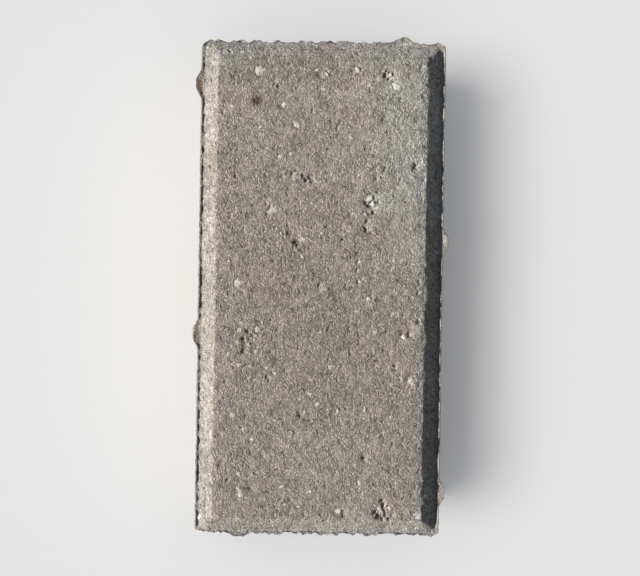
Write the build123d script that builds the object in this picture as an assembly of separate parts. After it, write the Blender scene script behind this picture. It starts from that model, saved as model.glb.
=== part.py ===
from build123d import *

import math
import os

# Concrete paving stone for a 200 x 100 mm laying module, pressed in one piece in a steel mould.
# It lies on its bed, the wearing face up. Z = 0 is the bed and the origin is under its middle.
# X runs across the stone, Y along it, and all sizes are in millimetres.

# The body, without its nibs
LENGTH = 198.0
WIDTH = 98.0
THICKNESS = 60.0
CORNER_RADIUS = 2.0

# The bevelled cap that carries the wearing face
CHAMFER_RUN = 6.0
CHAMFER_DROP = 4.0
LAND = 1.5
MITRE_RADIUS = 1.5

# The spacer nibs, which keep a joint of NIB_PROUD open between two stones
NIB_PROUD = 2.0
NIB_ROOT = 11.6
NIB_TIP = 4.0
NIB_TIP_RADIUS = 0.6
NIB_FROM_CORNER = 18.0
NIB_PITCH = 100.0
NIBS_ON_LONG_SIDE = 2
NIBS_ON_SHORT_SIDE = 1

# The sides stand upright up to the land, the narrow level step at the chamfer's foot.
LAND_LEVEL = THICKNESS - CHAMFER_DROP


def nib_plan():
    """One nib from above: a trapezium with its root on the X axis and its blunt tip towards +Y."""
    corners = [
        (-NIB_ROOT / 2, 0),
        (NIB_ROOT / 2, 0),
        (NIB_TIP / 2, NIB_PROUD),
        (-NIB_TIP / 2, NIB_PROUD),
    ]
    trapezium = make_face(Polyline(*corners, close=True))
    tip_corners = trapezium.vertices().sort_by(Axis.Y)[-2:]
    return fillet(tip_corners, NIB_TIP_RADIUS)


def body_plan():
    """The mould's outline: a rectangle with one or two nibs on each side.

    Going clockwise round the stone, each side has its first nib the same way short of the corner
    that the side ends at, and a long side's next one lies a pitch further back. The pattern comes
    back to itself after half a turn, so a stone can be laid either way round.
    """
    plan = RectangleRounded(WIDTH, LENGTH, CORNER_RADIUS)
    nib = nib_plan()
    for side in range(4):
        is_long = side % 2 == 1
        side_length = LENGTH if is_long else WIDTH
        across = WIDTH if is_long else LENGTH
        nib_count = NIBS_ON_LONG_SIDE if is_long else NIBS_ON_SHORT_SIDE
        for place in range(nib_count):
            along = side_length / 2 - NIB_FROM_CORNER - place * NIB_PITCH
            plan += Rot(0, 0, -90 * side) * Pos(along, across / 2) * nib
    return plan


def cap():
    """The frustum above the land: four sloping chamfers that meet in slightly blunted mitres."""
    slope = math.degrees(math.atan2(CHAMFER_RUN, CHAMFER_DROP))
    foot = Rectangle(WIDTH - 2 * LAND, LENGTH - 2 * LAND)
    frustum = extrude(foot, CHAMFER_DROP, taper=slope)
    level_edges = frustum.edges().filter_by(Plane.XY)
    mitres = frustum.edges() - level_edges
    return fillet(mitres, MITRE_RADIUS)


stone = extrude(body_plan(), LAND_LEVEL) + Pos(0, 0, LAND_LEVEL) * cap()
stone.label = "paving_stone"

os.makedirs("parts", exist_ok=True)
export_step(stone, "parts/paving_stone.step")
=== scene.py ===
import math
import random

import bmesh
import bpy
from mathutils import Matrix, Vector, noise
from mathutils.kdtree import KDTree


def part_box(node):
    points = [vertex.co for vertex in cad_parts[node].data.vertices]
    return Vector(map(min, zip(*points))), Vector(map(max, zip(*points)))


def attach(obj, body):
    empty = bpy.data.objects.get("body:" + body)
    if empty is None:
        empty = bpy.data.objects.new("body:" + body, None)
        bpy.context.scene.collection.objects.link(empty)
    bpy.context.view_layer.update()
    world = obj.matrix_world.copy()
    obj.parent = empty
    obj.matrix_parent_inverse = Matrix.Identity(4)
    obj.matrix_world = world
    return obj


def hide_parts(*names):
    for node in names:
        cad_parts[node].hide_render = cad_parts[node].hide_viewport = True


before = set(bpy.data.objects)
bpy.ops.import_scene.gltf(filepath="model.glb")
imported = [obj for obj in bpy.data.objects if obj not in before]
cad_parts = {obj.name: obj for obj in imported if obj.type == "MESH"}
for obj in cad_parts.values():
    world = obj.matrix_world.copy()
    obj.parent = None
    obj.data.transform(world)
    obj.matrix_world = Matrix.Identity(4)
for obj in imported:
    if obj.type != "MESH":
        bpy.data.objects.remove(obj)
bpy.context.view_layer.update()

MM = 0.001

# The view. The stone is seen from straight above and from as near as in the photograph, turned by
# the same degree, and it fills the picture.
low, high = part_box("paving_stone")
chamfer_drop = 4 * MM
land_level = high.z - chamfer_drop
eye_above_land = 340 * MM
nearest_seen = 10 * MM
stone_px_per_mm = 2.5
picture_width_px = 640
turn = math.radians(0.9)

camera = bpy.data.cameras.new("view_from_above")
camera.sensor_width = 36
camera.lens = stone_px_per_mm / MM * eye_above_land / picture_width_px * camera.sensor_width
camera.clip_start = nearest_seen
eye = bpy.data.objects.new("view_from_above", camera)
eye.location = (0, 0, land_level + eye_above_land)
eye.rotation_euler = (0, 0, turn)
bpy.context.scene.collection.objects.link(eye)
bpy.context.scene.camera = eye

# The stone's form. It is pressed from earth-damp concrete in a steel mould: a ram with a bevelled
# rim leaves the chamfers and the flat land at their foot, and the mould's walls leave the upright
# sides and the six spacer nibs. One skin holds it all, fine on top and coarser on the sides and bed.
nib_proud = 2 * MM
nib_root = 11.6 * MM
nib_tip = 4 * MM
nib_from_corner = 18 * MM
nib_pitch = 100 * MM
corner_radius = 2 * MM
least_radius = 0.9 * MM
mitre_radius = 3 * MM
land_width = 1.5 * MM
fray_reach = 1.6 * MM
chamfer_run = 6 * MM
half_width = high.x - nib_proud
half_length = high.y - nib_proud
face_half_width = half_width - land_width - chamfer_run
face_half_length = half_length - land_width - chamfer_run

# Each point of the skin keeps its place as a share of the half sizes, its outward way, its share of
# the fin and of the fraying, the zone that it lies in, and marks that the material reads.
skin = bmesh.new()
share = skin.verts.layers.float_vector.new("share_of_half_size")
way_out = skin.verts.layers.float_vector.new("way_out")
fin_share = skin.verts.layers.float.new("fin_share")
fray_share = skin.verts.layers.float.new("fray_share")
zone_names = ("face", "chamfer", "fin", "side", "bed")
zones = {name: skin.verts.layers.float.new(name) for name in zone_names}
mark_names = ("hollow", "pebble", "pebble_tone", "burr")
marks = {name: skin.verts.layers.float.new(name) for name in mark_names}


def lay_grid(step, grid_half_width, grid_half_length, level, zone):
    """Lays a flat grid of the skin about its middle, and gives its points and the edges of its rim."""
    verts = bmesh.ops.create_grid(
        skin,
        x_segments=round(2 * grid_half_width / step),
        y_segments=round(2 * grid_half_length / step),
        size=1,
        matrix=Matrix.Diagonal((grid_half_width, grid_half_length, 1, 1)),
    )["verts"]
    for vert in verts:
        vert[share] = (vert.co.x / grid_half_width, vert.co.y / grid_half_length, 0)
        vert[zones[zone]] = 1
        vert.co.z = level
    edges = dict.fromkeys(edge for vert in verts for edge in vert.link_edges)
    return verts, [edge for edge in edges if edge.is_boundary]


def nib_reach(along, side_half_length, is_long):
    """How far a nib stands out at a place along a side, counted towards its clockwise corner."""
    first = side_half_length - nib_from_corner
    centres = [first, first - nib_pitch] if is_long else [first]
    off = min(abs(along - centre) for centre in centres)
    flank = (nib_root / 2 - off) / ((nib_root - nib_tip) / 2)
    return nib_proud * min(max(flank, 0), 1)


def rim_place(shares, inset, radius, nib_share):
    """The point of an outline that runs inset from the sides, and its outward way."""
    x_limit = half_width - inset
    y_limit = half_length - inset
    x = shares.x * x_limit
    y = shares.y * y_limit
    corner = Vector((math.copysign(x_limit - radius, x), math.copysign(y_limit - radius, y), 0))
    if abs(x) > abs(corner.x) and abs(y) > abs(corner.y):
        spoke = (Vector((x, y, 0)) - corner).normalized()
        return corner + spoke * radius, spoke
    if abs(abs(shares.x) - 1) < 1e-6:
        outward = Vector((math.copysign(1, x), 0, 0))
        reach = nib_reach(-y * outward.x, half_length, True)
    else:
        outward = Vector((0, math.copysign(1, y), 0))
        reach = nib_reach(x * outward.y, half_width, False)
    return Vector((x, y, 0)) + outward * reach * nib_share, outward


def add_row(rim, inset, level, nib_share, zone, rise=0.0):
    """Grows the skin by one row of faces to a new outline, and gives the edges of its new rim."""
    grown = bmesh.ops.extrude_edge_only(skin, edges=rim)["geom"]
    radius = max(corner_radius - inset, least_radius)
    if zone == "chamfer":
        radius = mitre_radius - (mitre_radius - least_radius) * (level - land_level) / chamfer_drop
    for vert in (part for part in grown if isinstance(part, bmesh.types.BMVert)):
        spot, outward = rim_place(vert[share], inset, radius, nib_share)
        vert.co = (spot.x, spot.y, level)
        vert[way_out] = outward
        vert[fin_share] = rise
        vert[fray_share] = max(1 - inset / fray_reach, 0)
        for name, layer in zones.items():
            vert[layer] = name == zone
    return [part for part in grown if isinstance(part, bmesh.types.BMEdge) and part.is_boundary]


# The chamfers' rows lie closer together towards the wearing face, where the arris is worn.
face_step = 0.7 * MM
chamfer_rows = 9
face_verts, rim = lay_grid(face_step, face_half_width, face_half_length, high.z, "face")
for row in range(1, chamfer_rows + 1):
    down = (row / chamfer_rows) ** 1.3
    inset = land_width + chamfer_run * (1 - down)
    rim = add_row(rim, inset, high.z - chamfer_drop * down, 0, "chamfer")

# The fin is the ragged lip that rises at the land's outer edge, where paste crept up between the
# ram and the mould. Each row has its inset, its share of the nib and its share of the fin's height.
fin_rows = (
    (1.2, 0.4, -0.1),
    (0.92, 0.7, 0.3),
    (0.7, 1, 0.85),
    (0.48, 1, 1),
    (0.26, 1, 0.8),
    (0.05, 1, 0.35),
)
for inset, nib_share, rise in fin_rows:
    rim = add_row(rim, inset * MM, land_level, nib_share, "fin", rise)
upper_rim_below_land = 0.5 * MM
upper_rim = add_row(rim, 0, land_level - upper_rim_below_land, 1, "side")

# Bed and sides are a coarser grid, which meets the upper part just below the land.
coarse_step = 1.6 * MM
bed_margin = 1.6 * MM
bed_round = 0.3 * MM
side_foot = 0.4 * MM
side_below_land = 1.3 * MM
side_top = land_level - side_below_land
bed_verts, rim = lay_grid(coarse_step, half_width - bed_margin, half_length - bed_margin, 0, "bed")
rim = add_row(rim, bed_round, 0, 1, "bed")
side_rows = round((side_top - side_foot) / coarse_step)
for row in range(side_rows + 1):
    rim = add_row(rim, 0, side_foot + (side_top - side_foot) * row / side_rows, 1, "side")
bmesh.ops.bridge_loops(skin, edges=upper_rim + rim)
bmesh.ops.recalc_face_normals(skin, faces=skin.faces)

# The stone's relief. Damp concrete leaves the mould with a sandy grain, pores where the paste ran
# short, holes where a grain was plucked out, and pebbles that lie flush with a crack beside them.
# All of it but the fin goes inwards from the mould's own faces. Both kinds of chance have a seed.
chance = random.Random(20)
noise.seed_set(20)


def on_top(x, y):
    """A point of the wearing face or its chamfers, given in millimetres from the middle."""
    past_arris = max(abs(x) * MM - face_half_width, abs(y) * MM - face_half_length, 0)
    return Vector((x * MM, y * MM, high.z - past_arris * chamfer_drop / chamfer_run))


# Holes that show in the photograph: place, radius and depth in millimetres.
seen_holes = (
    (24.5, 84.6, 1.0, 0.6), (26.2, 83.0, 1.1, 0.6), (28.0, 82.2, 0.9, 0.6), (-1.5, 84.1, 0.9, 0.4),
    (-16.9, 72.0, 0.8, 0.5), (24.8, 67.1, 1.0, 0.4), (37.0, 49.0, 1.1, 0.6), (-6.2, 42.4, 0.9, 0.6),
    (-4.6, 43.8, 1.0, 0.7), (-3.2, 42.2, 0.9, 0.7), (22.2, 38.3, 0.8, 0.6), (22.6, 34.5, 0.9, 0.6),
    (19.2, 32.6, 1.2, 0.8), (17.4, 34.0, 1.0, 0.7), (20.8, 30.2, 1.1, 0.7), (18.4, 26.8, 0.9, 0.6),
    (18.1, 23.5, 1.2, 0.8), (-12.4, 21.6, 1.1, 0.7), (-13.2, 24.6, 0.9, 0.4), (-9.2, 18.0, 1.5, 0.9),
    (-28.2, -17.6, 1.0, 0.6), (-26.4, -19.2, 0.9, 0.6), (-29.9, -20.6, 1.0, 0.6),
    (-30.0, -25.6, 1.1, 0.6), (32.5, -16.9, 1.1, 0.5), (35.6, -17.8, 0.9, 0.4),
    (-7.2, -50.5, 1.1, 0.6), (18.3, -67.2, 1.0, 0.4), (-25.9, -80.1, 0.9, 0.4),
    (10.8, -90.0, 0.9, 0.5), (25.8, -83.9, 1.0, 0.9), (26.3, -85.3, 0.9, 0.8),
    (23.3, -88.4, 0.9, 0.9), (24.5, -90.0, 1.0, 1.0), (25.9, -91.1, 1.1, 1.1),
    (27.3, -89.8, 0.9, 0.9), (28.7, -91.4, 1.0, 0.9),
)
holes = [(on_top(x, y), radius, depth) for x, y, radius, depth in seen_holes]

# Pebbles that show in it: place, radius and paleness, from 0 for brown to 1 for pale.
seen_pebbles = (
    (-39.0, 93.6, 1.6, 0.8), (-13.8, 94.4, 1.2, 0.85), (-25.2, 85.8, 2.3, 1.0),
    (-2.5, 86.3, 1.0, 0.95), (1.5, 84.6, 1.1, 1.0), (13.6, 86.6, 1.4, 1.0), (24.0, 86.2, 1.1, 1.0),
    (26.7, 84.9, 0.9, 1.0), (28.8, 80.4, 1.7, 1.0), (-15.4, 72.2, 1.4, 1.0), (-3.7, 69.5, 0.8, 1.0),
    (-10.2, 64.6, 1.9, 0.95), (-43.9, 61.8, 1.5, 0.85), (-21.7, 55.0, 0.9, 0.9),
    (-16.8, 51.8, 1.1, 0.95), (-12.4, 53.1, 1.0, 0.9), (-10.2, 44.0, 1.9, 0.85),
    (19.2, 36.0, 1.5, 1.0), (20.4, 33.6, 1.3, 1.0), (17.6, 29.6, 1.0, 1.0), (-19.5, 30.2, 2.2, 0.9),
    (15.5, 10.6, 0.9, 1.0), (15.5, 2.8, 0.8, 1.0), (-32.8, 1.4, 1.9, 1.0), (0.9, 0.2, 2.0, 0.75),
    (39.6, -1.4, 1.1, 0.9), (4.0, -10.2, 1.1, 0.8), (12.4, -16.0, 1.0, 0.8), (33.8, -18.9, 1.5, 1.0),
    (-24.6, -16.6, 1.5, 0.9), (-27.8, -22.7, 1.0, 0.9), (-25.0, -25.5, 1.1, 0.85),
    (15.0, -21.2, 0.9, 0.85), (24.4, -24.4, 0.9, 0.9), (36.2, -36.2, 1.8, 1.0),
    (-0.3, -46.1, 1.1, 1.0), (-5.4, -49.0, 1.1, 0.9), (7.8, -48.3, 1.2, 0.95),
    (31.9, -57.7, 0.9, 1.0), (-26.1, -60.3, 1.2, 1.0), (-27.3, -65.3, 1.2, 0.15),
    (16.8, -76.9, 1.2, 1.0), (-31.2, -80.2, 1.3, 1.0), (-30.5, -82.2, 1.3, 1.0),
    (-11.5, -83.7, 1.3, 0.2), (8.6, -88.0, 1.4, 1.0), (25.3, -87.6, 1.8, 1.0),
    (29.1, -86.6, 0.9, 1.0), (30.9, -89.2, 1.0, 0.8), (40.0, -89.3, 2.0, 1.0),
)
pebbles = [(on_top(x, y), radius, paleness) for x, y, radius, paleness in seen_pebbles]

# Spots where the face is broken up, with the paste gone from between the grains: place and radius.
broken_spots = (
    (-1, 85, 3.5), (13, 86, 3), (26, 83, 4.5), (4, 72, 3), (25, 67, 3), (37, 49, 3), (-5, 43, 5),
    (20, 32, 6), (18, 24, 4.5), (6, 24, 4), (-10, 20, 5.5), (34, -17, 4.5), (-28, -22, 7),
    (5, -48, 5), (18, -67, 2.5), (-26, -80, 3), (10, -89, 3), (26, -88, 5),
)

# The rest are strewn at random, holes in small groups, with more and wider ones on the sides and
# bed. A row says how many groups of holes there are and their greatest radius and depth, then how
# many pebbles, their greatest radius, and how pale the palest one is.
chamfer_verts = [vert for vert in skin.verts if vert[zones["chamfer"]]]
side_verts = [vert for vert in skin.verts if vert[zones["side"]]]
least_hole_radius = 0.55
least_hole_depth = 0.35
least_pebble_radius = 0.6
group_spread = 2.2
for verts, groups, widest, deepest, pebble_count, pebble_widest, palest in (
    (face_verts, 110, 1.1, 0.6, 120, 1.3, 1.0),
    (chamfer_verts, 34, 0.8, 0.4, 14, 0.9, 0.9),
    (side_verts, 190, 1.3, 0.7, 80, 2.2, 0.6),
    (bed_verts, 150, 2.0, 1.0, 80, 2.4, 0.6),
):
    for _ in range(groups):
        middle = chance.choice(verts).co
        for _ in range(chance.choice((1, 1, 2, 3))):
            size = chance.random() ** 2
            near_by = Vector([chance.uniform(-group_spread, group_spread) * MM for _ in range(3)])
            radius = least_hole_radius + (widest - least_hole_radius) * size
            depth = least_hole_depth + (deepest - least_hole_depth) * size
            holes.append((middle + near_by, radius, depth))
    for _ in range(pebble_count):
        radius = least_pebble_radius + (pebble_widest - least_pebble_radius) * chance.random() ** 2
        centre = chance.choice(verts).co.copy()
        paleness = palest * (1 - 0.9 * chance.random() ** 1.4)
        pebbles.append((centre, radius, paleness))


def find_near():
    """A search tree of the skin's points."""
    skin.verts.ensure_lookup_table()
    skin.verts.index_update()
    found = KDTree(len(skin.verts))
    for vert in skin.verts:
        found.insert(vert.co, vert.index)
    found.balance()
    return found


def refine(longest, spare):
    """Halves the skin's edges over a length where a hole or pebble will lie, and a little beyond."""
    near = find_near()
    picked = set()
    for centre, radius, _ in holes + pebbles:
        picked.update(index for _, index, _ in near.find_range(centre, radius * MM + spare))
    edges = [edge for edge in skin.edges if edge.calc_length() > longest]
    edges = [edge for edge in edges if all(vert.index in picked for vert in edge.verts)]
    bmesh.ops.subdivide_edges(skin, edges=edges, cuts=1, use_grid_fill=True)


# Faces of more than four corners are split before the relief bends them.
refine(longest=1.2 * MM, spare=1.2 * MM)
refine(longest=0.5 * MM, spare=0.6 * MM)
bmesh.ops.triangulate(skin, faces=[face for face in skin.faces if len(face.verts) > 4])

# For each point: how deep holes and cracks sink it and how deep a pebble's top lies there, in
# millimetres, how far it is in a pebble, from 0 to 1, and that pebble's paleness.
near = find_near()
sunk = [0.0] * len(skin.verts)
dome = [0.0] * len(skin.verts)
pebble = [0.0] * len(skin.verts)
pebble_tone = [0.5] * len(skin.verts)


def wave(spot, size, shift=0.0):
    """Smooth noise from about -1 to 1 whose swells are about size apart, in millimetres."""
    return 1.5 * noise.noise((spot / MM + Vector((shift, 3 * shift, 7 * shift))) / size)


def lumps(spot, size):
    """How far a point is from the nearest of many uneven lumps about size apart, in shares of it."""
    pushed = spot / MM + 0.35 * size * noise.noise_vector(spot / MM / size * 1.3)
    return noise.voronoi(pushed / size)[0][0]


def any_way():
    """A random direction."""
    return Vector([chance.gauss(0, 1) for _ in range(3)]).normalized()


def ragged_share(spot, centre, radius, lean):
    """How far out a point lies from the middle of a long ragged patch, whose edge is at 1."""
    way = (spot - centre) / (radius * MM)
    way -= 0.35 * way.dot(lean) * lean
    own_shift = 20 * lean
    return way.length / (1 + 0.5 * noise.noise(way.normalized() * 1.4 + own_shift))


def chip_share(spot, centre, radius, facets):
    """How far out a point lies from the middle of a broken stone, whose flat sides are at 1."""
    way = (spot - centre) / (radius * MM)
    way += 0.4 * way.dot(facets[0]) * facets[0]
    out = max(way.length, *(way.dot(facet) for facet in facets))
    own_shift = 20 * facets[1]
    return out / (1 + 0.5 * noise.noise(way.normalized() * 1.6 + own_shift))


# A hole has a sloping wall and an uneven floor.
for centre, radius, depth in holes:
    lean = any_way()
    wall_width = 0.6 * radius
    for spot, index, _ in near.find_range(centre, 2 * radius * MM):
        inside = (1 - ragged_share(spot, centre, radius, lean)) * radius
        bowl = min(max(inside / wall_width, 0), 1)
        sunk[index] = max(sunk[index], depth * bowl * (0.85 + 0.3 * noise.noise(spot / MM)))

# A pebble is broken flat on several sides, and its top slopes, the paler ones towards the light. On
# one side of it the paste shrank off and left a crack.
pebble_sides = 7
pebble_edge = 0.3
crack_off = 0.2
crack_reach = 0.35
crack_depth = 0.35
for centre, radius, paleness in pebbles:
    facets = [any_way() * chance.uniform(0.85, 1.5) for _ in range(pebble_sides)]
    crack_way = any_way()
    slope = (any_way() - Vector((1.2 * paleness, 0, 0))).normalized()
    for spot, index, off in near.find_range(centre, 1.6 * radius * MM):
        out = chip_share(spot, centre, radius, facets)
        inside = min(max((1 - out) * radius / pebble_edge, 0), 1)
        facing = (spot - centre).normalized()
        if inside > pebble[index]:
            pebble[index] = inside
            pebble_tone[index] = paleness
            tilt = 0.15 * min(off / (radius * MM), 1) * facing.dot(slope)
            dome[index] = 0.15 + tilt + 0.2 * out ** 3
        if off and abs((out - 1) * radius - crack_off) < crack_reach:
            crack = min(max(2 * facing.dot(crack_way), 0), 1)
            sunk[index] = max(sunk[index], crack_depth * crack)


def corner_wear(spot):
    """How much is worn off the corners at a point, in millimetres, most off the far left one."""
    wear_reach = 4
    off = math.hypot(half_width - abs(spot.x), half_length - abs(spot.y)) / MM
    deepest = 0.3 if spot.x > 0 else 1.0 if spot.y > 0 else 0.6
    return deepest * max(1 - off / wear_reach, 0)


def arris_wear(spot, shares):
    """How much is worn off the edge between face and chamfer at a point, in millimetres."""
    from_side = (1 - abs(shares.x)) * face_half_width / MM
    from_end = (1 - abs(shares.y)) * face_half_length / MM
    rolled = math.exp(-min(from_side, from_end) / 1.6 - (high.z - spot.z) / MM / 0.6)
    return rolled * (0.12 + 0.35 * max(wave(spot, 3.6, 2) + 0.1, 0))


def fray(spot, outward):
    """How far the rim is nibbled in at a point: little on the long sides, and ragged on the ends."""
    least_fray, most_fray = 0.02, 1.35
    at_end = abs(outward.y)
    nibbled = 0.08 + 0.14 * wave(spot, 2.2, 3)
    torn = 0.6 + 1.1 * wave(spot, 1.7, 4) + 0.35 * wave(spot, 3.9, 6)
    most_nib_wear = 0.9 if outward.y < 0 else 0.4
    nib_wear = most_nib_wear * nib_reach(spot.x * outward.y, half_width, False) / nib_proud
    nibbled += (torn + nib_wear - nibbled) * at_end + corner_wear(spot)
    return min(max(nibbled, least_fray), most_fray)


def fin_height(spot, outward):
    """The fin's height at a point, in millimetres: lower on the sides, broken on the right."""
    on_right = max(outward.x, 0)
    height = 0.4 - 0.2 * abs(outward.x) + (0.15 + 0.5 * on_right) * wave(spot, 7, 1)
    height += (0.6 - 0.25 * on_right) * wave(spot, 2.1, 2)
    return min(max(height, 0.02), 1.0) * max(1 - 1.2 * corner_wear(spot), 0.1)


def grain(spot, zone):
    """How deep the skin's own roughness goes at a point of a zone, in millimetres."""
    if zone in ("face", "chamfer"):
        offs = [
            math.hypot(spot.x / MM - x, spot.y / MM - y) / radius
            for x, y, radius in broken_spots
        ]
        broken = min(max(1.6 * (1 - min(offs)), 0), 1)
        rough = 0.04 + 0.27 * lumps(spot, 1.8) + 0.06 * wave(spot, 4.1, 5) + 0.06 * wave(spot, 15, 9)
        return rough + 0.7 * broken * lumps(spot * 1.3, 1.9)
    if zone == "side":
        drag_length = 18
        drag = Vector((spot.x, spot.y, spot.z / drag_length))
        rough = 0.02 + 0.2 * lumps(spot, 3.4) + 0.09 * wave(drag, 2.4, 4) + 0.10 * wave(spot, 9, 8)
        starved = max(wave(drag, 3.6, 12) + 0.5 * wave(spot, 2, 14) - 0.5, 0)
        starved *= max(wave(spot, 16, 15) + 0.5, 0)
        return max(rough, 0.02) + min(starved, 0.5) * (0.4 + 2.0 * lumps(spot, 2.6))
    return max(0.05 + 0.4 * lumps(spot, 4.2) + 0.15 * wave(spot, 8, 33), 0)


# The fin's points rise and lean a little to the right, and the others sink. Fraying fades out down
# the sides. Of the bed, only the outermost row has an outward way, and it crumbles unevenly.
fray_fade = 2.5
full_hollow = 0.8
skin.normal_update()
inward = [-vert.normal.copy() for vert in skin.verts]
for vert in skin.verts:
    spot = vert.co.copy()
    outward = Vector(vert[way_out])
    around = Vector((spot.x, spot.y, 0))
    zone = max(zones, key=lambda name: vert[zones[name]])
    if zone == "fin":
        height = fin_height(around, outward)
        rise = vert[fin_share]
        vert[marks["burr"]] = max(rise, 0) * height
        vert.co.z += (rise * height + 0.05 * wave(spot, 1.2) - 0.06) * MM
        vert.co += outward * 0.2 * outward.x * max(rise, 0) * MM
        vert.co -= outward * fray(around, outward) * vert[fray_share] * MM
        continue
    depth = grain(spot, zone)
    depth += (dome[vert.index] - depth) * pebble[vert.index] + sunk[vert.index]
    if zone in ("face", "chamfer"):
        depth += arris_wear(spot, vert[share])
    if zone == "side":
        below = max(land_level - spot.z, 0) / MM
        depth += fray(around, outward) * math.exp(-below / fray_fade)
    if zone == "bed" and outward.length > 0.5:
        vert.co -= outward * (0.3 + 0.4 * max(wave(spot, 3.5, 20), -0.5)) * MM
    vert.co += inward[vert.index] * depth * MM
    vert[marks["hollow"]] = min(sunk[vert.index] / full_hollow, 1)
    vert[marks["pebble"]] = pebble[vert.index]
    vert[marks["pebble_tone"]] = pebble_tone[vert.index]
for vert in skin.verts:
    for axis in range(3):
        vert.co[axis] = min(max(vert.co[axis], low[axis]), high[axis])

# The stone's map for baked colour: the top from above, at the largest scale, the four sides, each
# standing on its end, and the bed. Left and bottom are in pixels of the map, and the scale is in
# pixels to the millimetre. A face goes with the side or bed that one of its points lies in.
map_px = 1024
lies_in = 0.4
charts = {
    "top": (10, 10, 4.6),
    "left": (489, 10, 2.7),
    "right": (661, 10, 2.7),
    "far": (489, 566, 2.7),
    "near": (661, 566, 2.7),
    "bed": (833, 10, 1.77),
}
bake_map = skin.loops.layers.uv.new("OFBake")
for face in skin.faces:
    outward = sum((Vector(vert[way_out]) for vert in face.verts), Vector())
    if max(vert[zones["side"]] for vert in face.verts) > lies_in:
        if abs(outward.x) > abs(outward.y):
            chart = "right" if outward.x > 0 else "left"
        else:
            chart = "far" if outward.y > 0 else "near"
    else:
        chart = "bed" if max(vert[zones["bed"]] for vert in face.verts) > lies_in else "top"
    left, bottom, scale = charts[chart]
    for loop in face.loops:
        x, y, z = (loop.vert.co - low) / MM
        across, up = x, y
        if chart in ("left", "right"):
            across, up = z, y
        elif chart in ("far", "near"):
            across, up = z, x
        loop[bake_map].uv = ((left + scale * across) / map_px, (bottom + scale * up) / map_px)

stone_mesh = bpy.data.meshes.new("pressed_concrete")
skin.to_mesh(stone_mesh)
skin.free()
stone_mesh.shade_smooth()
stone = bpy.data.objects.new("pressed_concrete", stone_mesh)
bpy.context.scene.collection.objects.link(stone)
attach(stone, "root")
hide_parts("paving_stone")

# The concrete itself: grey-brown cement paste over river sand of many colours and a few larger
# pebbles. Patches of it dried greener or browner, painted shade darkens its holes, and it
# weathered a little.
concrete = bpy.data.materials.new("concrete")
concrete.use_nodes = True
tree = concrete.node_tree
shader = tree.nodes["Principled BSDF"]


def add(kind, sockets, **settings):
    """Adds a node. A socket is given by name or number, and its value is a number or an output."""
    made = tree.nodes.new("ShaderNode" + kind)
    for name, value in settings.items():
        setattr(made, name, value)
    for name, value in sockets.items():
        if isinstance(value, bpy.types.NodeSocket):
            tree.links.new(value, made.inputs[name])
        else:
            made.inputs[name].default_value = value
    return made


def calc(operation, first, second=0.0):
    """A sum, product or other step between two numbers."""
    return add("Math", {0: first, 1: second}, operation=operation).outputs[0]


def ramp(value, start, end, low_end=0.0, high_end=1.0):
    """Spreads start to end of a value smoothly over low_end to high_end."""
    steps = {"Value": value, "From Min": start, "From Max": end, "To Min": low_end, "To Max": high_end}
    return add("MapRange", steps, interpolation_type="SMOOTHSTEP").outputs[0]


def blend(factor, first, second, mode="MIX"):
    """One colour laid over another by a factor from 0 to 1."""
    sockets = {0: factor, 6: first, 7: second}
    return add("Mix", sockets, data_type="RGBA", blend_type=mode).outputs[2]


def shaded(colour, factor):
    """A colour made lighter or darker by a factor about 1."""
    grey = add("CombineColor", {0: factor, 1: factor, 2: factor}).outputs[0]
    return blend(1.0, colour, grey, "MULTIPLY")


def tone(red, green, blue):
    """A colour as a screen shows it, from 0 to 255, in the linear values that the shader takes."""
    return (*(((v / 255 + 0.055) / 1.055) ** 2.4 for v in (red, green, blue)), 1)


def tones(value, *stops):
    """A colour picked along a row of stops, each a place and a colour."""
    made = add("ValToRGB", {0: value})
    band = made.color_ramp.elements
    while len(band) < len(stops):
        band.new(0.5)
    for element, (place, colour) in zip(band, stops):
        element.position = place
        element.color = colour
    return made.outputs[0]


def mark(name):
    """How strongly the skin is marked as a hollow, pebble, side and so on."""
    return add("Attribute", {}, attribute_name=name).outputs["Fac"]


to_mm = 1 / MM
in_metres = add("TexCoord", {}).outputs["Object"]
in_mm = add("Mapping", {0: in_metres, "Scale": (to_mm, to_mm, to_mm)}).outputs[0]


def clouds(size, detail=2.0, shift=0.0):
    """Soft noise whose patches are about size apart, in millimetres."""
    placed = add("Mapping", {0: in_mm, "Location": (shift, shift, shift)}).outputs[0]
    return add("TexNoise", {"Vector": placed, "Scale": 1 / size, "Detail": detail}).outputs["Fac"]


def grains(size, shift=0.0):
    """Uneven grains of about that size: how far off its grain's middle a point is, and two random
    numbers of the grain."""
    placed = add("Mapping", {0: in_mm, "Location": (shift, shift, shift)}).outputs[0]
    push = add("TexNoise", {"Vector": placed, "Scale": 1.6 / size, "Detail": 2}).outputs["Color"]
    push = add("VectorMath", {0: push, 1: (0.5, 0.5, 0.5)}, operation="SUBTRACT").outputs[0]
    push = add("VectorMath", {0: push, "Scale": 0.9 * size}, operation="SCALE").outputs[0]
    placed = add("VectorMath", {0: placed, 1: push}, operation="ADD").outputs[0]
    cells = add("TexVoronoi", {"Vector": placed, "Scale": 1 / size})
    numbers = add("SeparateColor", {0: cells.outputs["Color"]})
    return cells.outputs["Distance"], numbers.outputs[0], numbers.outputs[1]


def stain(x, y, half_width_mm, half_length_mm, half_height_mm=200):
    """A soft patch with an uneven edge, 1 in its middle and 0 outside, placed in millimetres."""
    sockets = {
        0: in_mm,
        "Location": (x, y, land_level / MM),
        "Scale": (half_width_mm, half_length_mm, half_height_mm),
    }
    placed = add("Mapping", sockets, vector_type="TEXTURE").outputs[0]
    out = add("VectorMath", {0: placed}, operation="LENGTH").outputs["Value"]
    out = calc("ADD", out, ramp(clouds(9, 3, x), 0.2, 0.8, -0.4, 0.4))
    return ramp(out, 1.2, 0.2)
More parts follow.
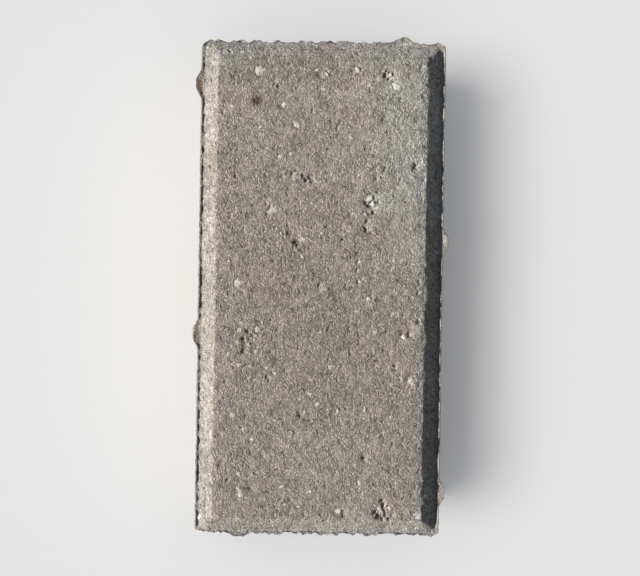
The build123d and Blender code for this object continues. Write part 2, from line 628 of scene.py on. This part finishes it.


# The paste dried in patches, and the pale band along the near end also partly paints the brighter
# light on that end: place and half sizes in millimetres, strength and tone.
patches = (
    ((36, 60, 28, 58), 0.65, (189, 187, 177)),
    ((6, 90, 44, 9), 0.4, (168, 161, 152)),
    ((38, -62, 15, 30), 0.3, (146, 139, 130)),
    ((2, -22, 30, 40), 0.45, (152, 143, 133)),
    ((14, 68, 11, 40), 0.4, (186, 173, 161)),
    ((39, -84, 6, 16), 0.5, (184, 184, 173)),
    ((0, -62, 28, 14), 0.35, (182, 173, 161)),
    ((-30, 58, 10, 16), 0.35, (184, 175, 163)),
    ((-36, 88, 12, 9), 0.5, (166, 165, 154)),
    ((6, -6, 12, 14), 0.35, (158, 152, 136)),
    # A pale band along the near end, partly a tone of the paste and partly painted light on that end.
    ((0, -99, 52, 7), 0.4, (176, 168, 158)),
    ((-44, 51, 3, 6), 0.5, (168, 151, 128)),
)
paste = blend(ramp(clouds(42, 3), 0.38, 0.64), tone(173, 163, 151), tone(171, 162, 150))
browner = calc("MULTIPLY", ramp(clouds(26, 3, 40), 0.48, 0.7), 0.5)
paste = blend(browner, paste, tone(166, 154, 142))
for place_and_size, strength, patch_tone in patches:
    patch = calc("MULTIPLY", stain(*place_and_size), strength)
    paste = blend(patch, paste, tone(*patch_tone))
paste = shaded(paste, ramp(clouds(9, 3, 11), 0.3, 0.7, 0.94, 1.06))
paste = shaded(paste, ramp(clouds(2.6, 2, 17), 0.3, 0.7, 0.92, 1.08))

# Its texture is more open in some places, where the sand grains differ more, and closer in others.
# Every grain of sand has its own shade, and one in seven its own colour.
openness = ramp(clouds(16, 2, 51), 0.36, 0.62)
sand_off, sand_pick, sand_kind = grains(0.85)
sand_spread = ramp(openness, 0.0, 1.0, 0.2, 0.3)
darkest_sand = calc("SUBTRACT", 1.0, sand_spread)
lightest_sand = calc("ADD", 1.0, sand_spread)
colour = shaded(paste, ramp(sand_pick, 0.0, 1.0, darkest_sand, lightest_sand))
sand_colour = tones(
    sand_kind,
    (0.0, tone(92, 80, 70)),
    (0.25, tone(120, 108, 96)),
    (0.4, tone(176, 156, 128)),
    (0.6, tone(182, 172, 158)),
    (0.75, tone(168, 144, 134)),
    (1.0, tone(212, 206, 196)),
)
odd_grain = calc("MULTIPLY", ramp(sand_off, 0.46, 0.36), ramp(sand_pick, 0.84, 0.87))
colour = blend(calc("MULTIPLY", odd_grain, 0.7), colour, sand_colour)
# Painted shade darkens the creases between the sand grains.
colour = shaded(colour, ramp(sand_off, 0.3, 0.62, 1.04, 0.72))
fine_off, fine_pick, _ = grains(0.42, 3)
colour = shaded(colour, ramp(fine_pick, 0.0, 1.0, 0.8, 1.2))

# Grit is twice as coarse as the sand, and painted shade darkens a rim of paste round each grain.
grit_off, grit_pick, grit_kind = grains(1.7, 7)
grit_here = ramp(grit_pick, 0.72, 0.74)
grit = calc("MULTIPLY", ramp(grit_off, 0.46, 0.32), grit_here)
grit_shade_rim = calc("MULTIPLY", ramp(grit_off, 0.36, 0.47), ramp(grit_off, 0.62, 0.5))
grit_shade_rim = calc("MULTIPLY", grit_shade_rim, grit_here)
grit_colour = tones(
    grit_kind,
    (0.0, tone(98, 88, 78)),
    (0.25, tone(134, 124, 114)),
    (0.5, tone(164, 156, 145)),
    (0.75, tone(186, 179, 168)),
    (1.0, tone(216, 210, 200)),
)
colour = blend(calc("MULTIPLY", grit, 0.5), colour, grit_colour)
# Painted shade on the rim round each grit grain.
colour = shaded(colour, ramp(grit_shade_rim, 0.0, 1.0, 1.0, 0.86))

# Chips are pale broken stones, painted paler still as a highlight where they catch the light, and
# pores are where the paste ran short, painted dark as shade.
chip_off, chip_pick, _ = grains(3.6, 21)
more_here = calc("MULTIPLY", openness, 0.1)
chip = calc("MULTIPLY", ramp(chip_off, 0.26, 0.2), ramp(calc("ADD", chip_pick, more_here), 0.91, 0.92))
# The chips' pale colour is partly their stone and partly a painted highlight.
colour = blend(calc("MULTIPLY", chip, 0.75), colour, tone(222, 216, 206))
pore_off, pore_pick, _ = grains(2.8, 33)
pore = calc("MULTIPLY", ramp(pore_off, 0.3, 0.18), ramp(calc("ADD", pore_pick, more_here), 0.91, 0.92))
# Painted shade darkens the pores.
colour = blend(calc("MULTIPLY", pore, 0.42), colour, tone(86, 77, 69))

# The pebbles and hollows are those of the skin.
pebble_colour = tones(
    mark("pebble_tone"),
    (0.0, tone(104, 92, 78)),
    (0.25, tone(126, 116, 104)),
    (0.55, tone(150, 146, 134)),
    (0.8, tone(186, 179, 167)),
    (1.0, tone(220, 214, 203)),
)
pebble_colour = shaded(pebble_colour, ramp(clouds(1.2, 3, 61), 0.34, 0.66, 0.74, 1.14))
colour = blend(calc("MULTIPLY", mark("pebble"), 0.8), colour, pebble_colour)
# Painted shade darkens the deepest hollows.
painted_hollow_shade = ramp(mark("hollow"), 0.5, 1.0)
colour = blend(calc("MULTIPLY", painted_hollow_shade, 0.2), colour, tone(84, 74, 66))

# Brown dirt soaked in at one spot of the face and on top of the nib beside it.
brown_spot = stain(-26, 73.5, 2.8, 2.2)
colour = blend(brown_spot, colour, (0.26, 0.21, 0.16, 1), "MULTIPLY")
brown_nib = stain(-51, 81, 3.5, 6.5, 7)
colour = blend(calc("MULTIPLY", brown_nib, 0.9), colour, (0.43, 0.35, 0.25, 1), "MULTIPLY")

# Gravel shows on the sides and bed, and the sides have the drag marks of stripping the mould. The
# chamfers are a little paler, partly from their smoother skin and partly as painted light, and the
# fin is nearly all paste.
side = mark("side")
rough_parts = calc("MAXIMUM", side, mark("bed"))
gravel_off, gravel_pick, gravel_kind = grains(5.2, 13)
gravel = calc("MULTIPLY", ramp(gravel_off, 0.4, 0.34), ramp(gravel_pick, 0.7, 0.72))
gravel = calc("MULTIPLY", gravel, rough_parts)
gravel_colour = tones(
    gravel_kind,
    (0.0, tone(118, 108, 98)),
    (0.4, tone(148, 144, 136)),
    (0.7, tone(164, 150, 134)),
    (1.0, tone(186, 180, 170)),
)
colour = blend(calc("MULTIPLY", gravel, 0.5), colour, gravel_colour)
dragged = add("Mapping", {0: in_mm, "Scale": (1, 1, 0.05)}).outputs[0]
drag = add("TexNoise", {"Vector": dragged, "Scale": 0.6, "Detail": 3}).outputs["Fac"]
colour = blend(side, colour, shaded(colour, ramp(drag, 0.3, 0.7, 0.86, 1.08)))
# The chamfers are painted paler, partly as their own skin and partly as painted light on the lit
# chamfer.
colour = blend(mark("chamfer"), colour, (1.15, 1.18, 1.21, 1), "MULTIPLY")
colour = blend(calc("MULTIPLY", mark("burr"), 0.5), colour, tone(172, 170, 165))
tree.links.new(colour, shader.inputs["Base Color"])

# The same grains are relief too fine for the skin: sand, grit, chips and pores, less so on pebbles,
# and gravel and drag marks on the sides.
bump_height = 0.39 * MM
fine = clouds(0.3, 3, 5)
tree.links.new(ramp(fine, 0.2, 0.8, 0.84, 0.97), shader.inputs["Roughness"])
shader.inputs["Specular IOR Level"].default_value = 0.3
sandy = ramp(clouds(4, 2, 21), 0.35, 0.65, 0.5, 1.2)
sandy = calc("MULTIPLY", sandy, ramp(openness, 0.0, 1.0, 0.75, 1.15))
relief = calc("MULTIPLY", ramp(sand_off, 0.6, 0.05), ramp(sand_pick, 0.0, 1.0, 0.35, 1.0))
relief = calc("ADD", relief, calc("MULTIPLY", ramp(fine_off, 0.6, 0.1), 0.3))
relief = calc("MULTIPLY", calc("ADD", relief, calc("MULTIPLY", fine, 0.5)), sandy)
relief = calc("ADD", relief, calc("SUBTRACT", grit, calc("MULTIPLY", grit_shade_rim, 0.2)))
relief = calc("ADD", relief, calc("MULTIPLY", calc("SUBTRACT", chip, pore), 1.2))
relief = calc("MULTIPLY", relief, calc("SUBTRACT", 1.0, calc("MULTIPLY", mark("pebble"), 0.4)))
relief = calc("ADD", relief, calc("MULTIPLY", gravel, 0.8))
relief = calc("ADD", relief, calc("MULTIPLY", calc("MULTIPLY", drag, side), 1.6))
bump = add("Bump", {"Height": relief, "Distance": bump_height, "Strength": 1.0})
tree.links.new(bump.outputs[0], shader.inputs["Normal"])
stone_mesh.materials.append(concrete)

# The floor and the light. The floor is a plain pale one. A low lamp on the left, as the sun stood,
# draws the stone's grain and leaves its right-hand chamfer in the shade, two softer ones above give
# the floor the stone's shadow, and a faint bluish sky fills what they leave dark.
floor_size = 4.0
floor_mesh = bmesh.new()
bmesh.ops.create_grid(floor_mesh, x_segments=1, y_segments=1, size=floor_size / 2)
floor_data = bpy.data.meshes.new("floor")
floor_mesh.to_mesh(floor_data)
floor_mesh.free()
floor = bpy.data.objects.new("floor", floor_data)
bpy.context.scene.collection.objects.link(floor)
floor_paint = bpy.data.materials.new("floor_paint")
floor_paint.use_nodes = True
paint = floor_paint.node_tree.nodes["Principled BSDF"]
paint.inputs["Base Color"].default_value = (0.78, 0.77, 0.75, 1)
paint.inputs["Roughness"].default_value = 0.9
floor_data.materials.append(floor_paint)

# The lamps give what lies flat this share of full light, and the sky gives it the rest.
lamp_share = 0.9
sun_turn = math.radians(5.5)
white = (1.0, 1.0, 1.0)


def add_lamp(name, lit, flat_share, elevation, spread, colour):
    """A sun lamp on the left that lights one object. Its height and spread are in degrees."""
    elevation = math.radians(elevation)
    lamp = bpy.data.lights.new(name, "SUN")
    lamp.energy = math.pi * flat_share / math.sin(elevation)
    lamp.angle = math.radians(spread)
    lamp.color = colour
    flat_way = Vector((-math.cos(sun_turn), -math.sin(sun_turn), 0))
    way = flat_way * math.cos(elevation) + Vector((0, 0, math.sin(elevation)))
    lamp_object = bpy.data.objects.new(name, lamp)
    lamp_object.rotation_euler = way.to_track_quat("Z", "Y").to_euler()
    bpy.context.scene.collection.objects.link(lamp_object)
    lamp_object.light_linking.receiver_collection = bpy.data.collections.new(name + "_lights")
    lamp_object.light_linking.receiver_collection.objects.link(lit)


add_lamp("low_lamp", stone, lamp_share, elevation=27, spread=2, colour=(1.0, 0.985, 0.96))
add_lamp("high_lamp", floor, 0.5 * lamp_share, elevation=58, spread=30, colour=white)
add_lamp("top_lamp", floor, 0.5 * lamp_share, elevation=80, spread=100, colour=white)

# The sky's light is faint and bluish, and where it is seen, also in a reflection, it is pale grey.
sky = bpy.data.worlds.new("sky")
sky.use_nodes = True
nodes = sky.node_tree.nodes
links = sky.node_tree.links
fill = nodes["Background"]
fill.inputs["Color"].default_value = (0.82, 1.0, 1.33, 1)
fill.inputs["Strength"].default_value = 1 - lamp_share
backdrop = nodes.new("ShaderNodeBackground")
backdrop.inputs["Color"].default_value = (0.797, 0.803, 0.805, 1)
rays = nodes.new("ShaderNodeLightPath")
seen = rays.outputs["Is Camera Ray"]
for ray_kind in ("Is Glossy Ray", "Is Transmission Ray"):
    either = nodes.new("ShaderNodeMath")
    either.operation = "MAXIMUM"
    links.new(seen, either.inputs[0])
    links.new(rays.outputs[ray_kind], either.inputs[1])
    seen = either.outputs[0]
fill_or_backdrop = nodes.new("ShaderNodeMixShader")
links.new(seen, fill_or_backdrop.inputs[0])
links.new(fill.outputs[0], fill_or_backdrop.inputs[1])
links.new(backdrop.outputs[0], fill_or_backdrop.inputs[2])
links.new(fill_or_backdrop.outputs[0], nodes["World Output"].inputs["Surface"])
bpy.context.scene.world = sky
bpy.context.scene.view_settings.view_transform = "Standard"
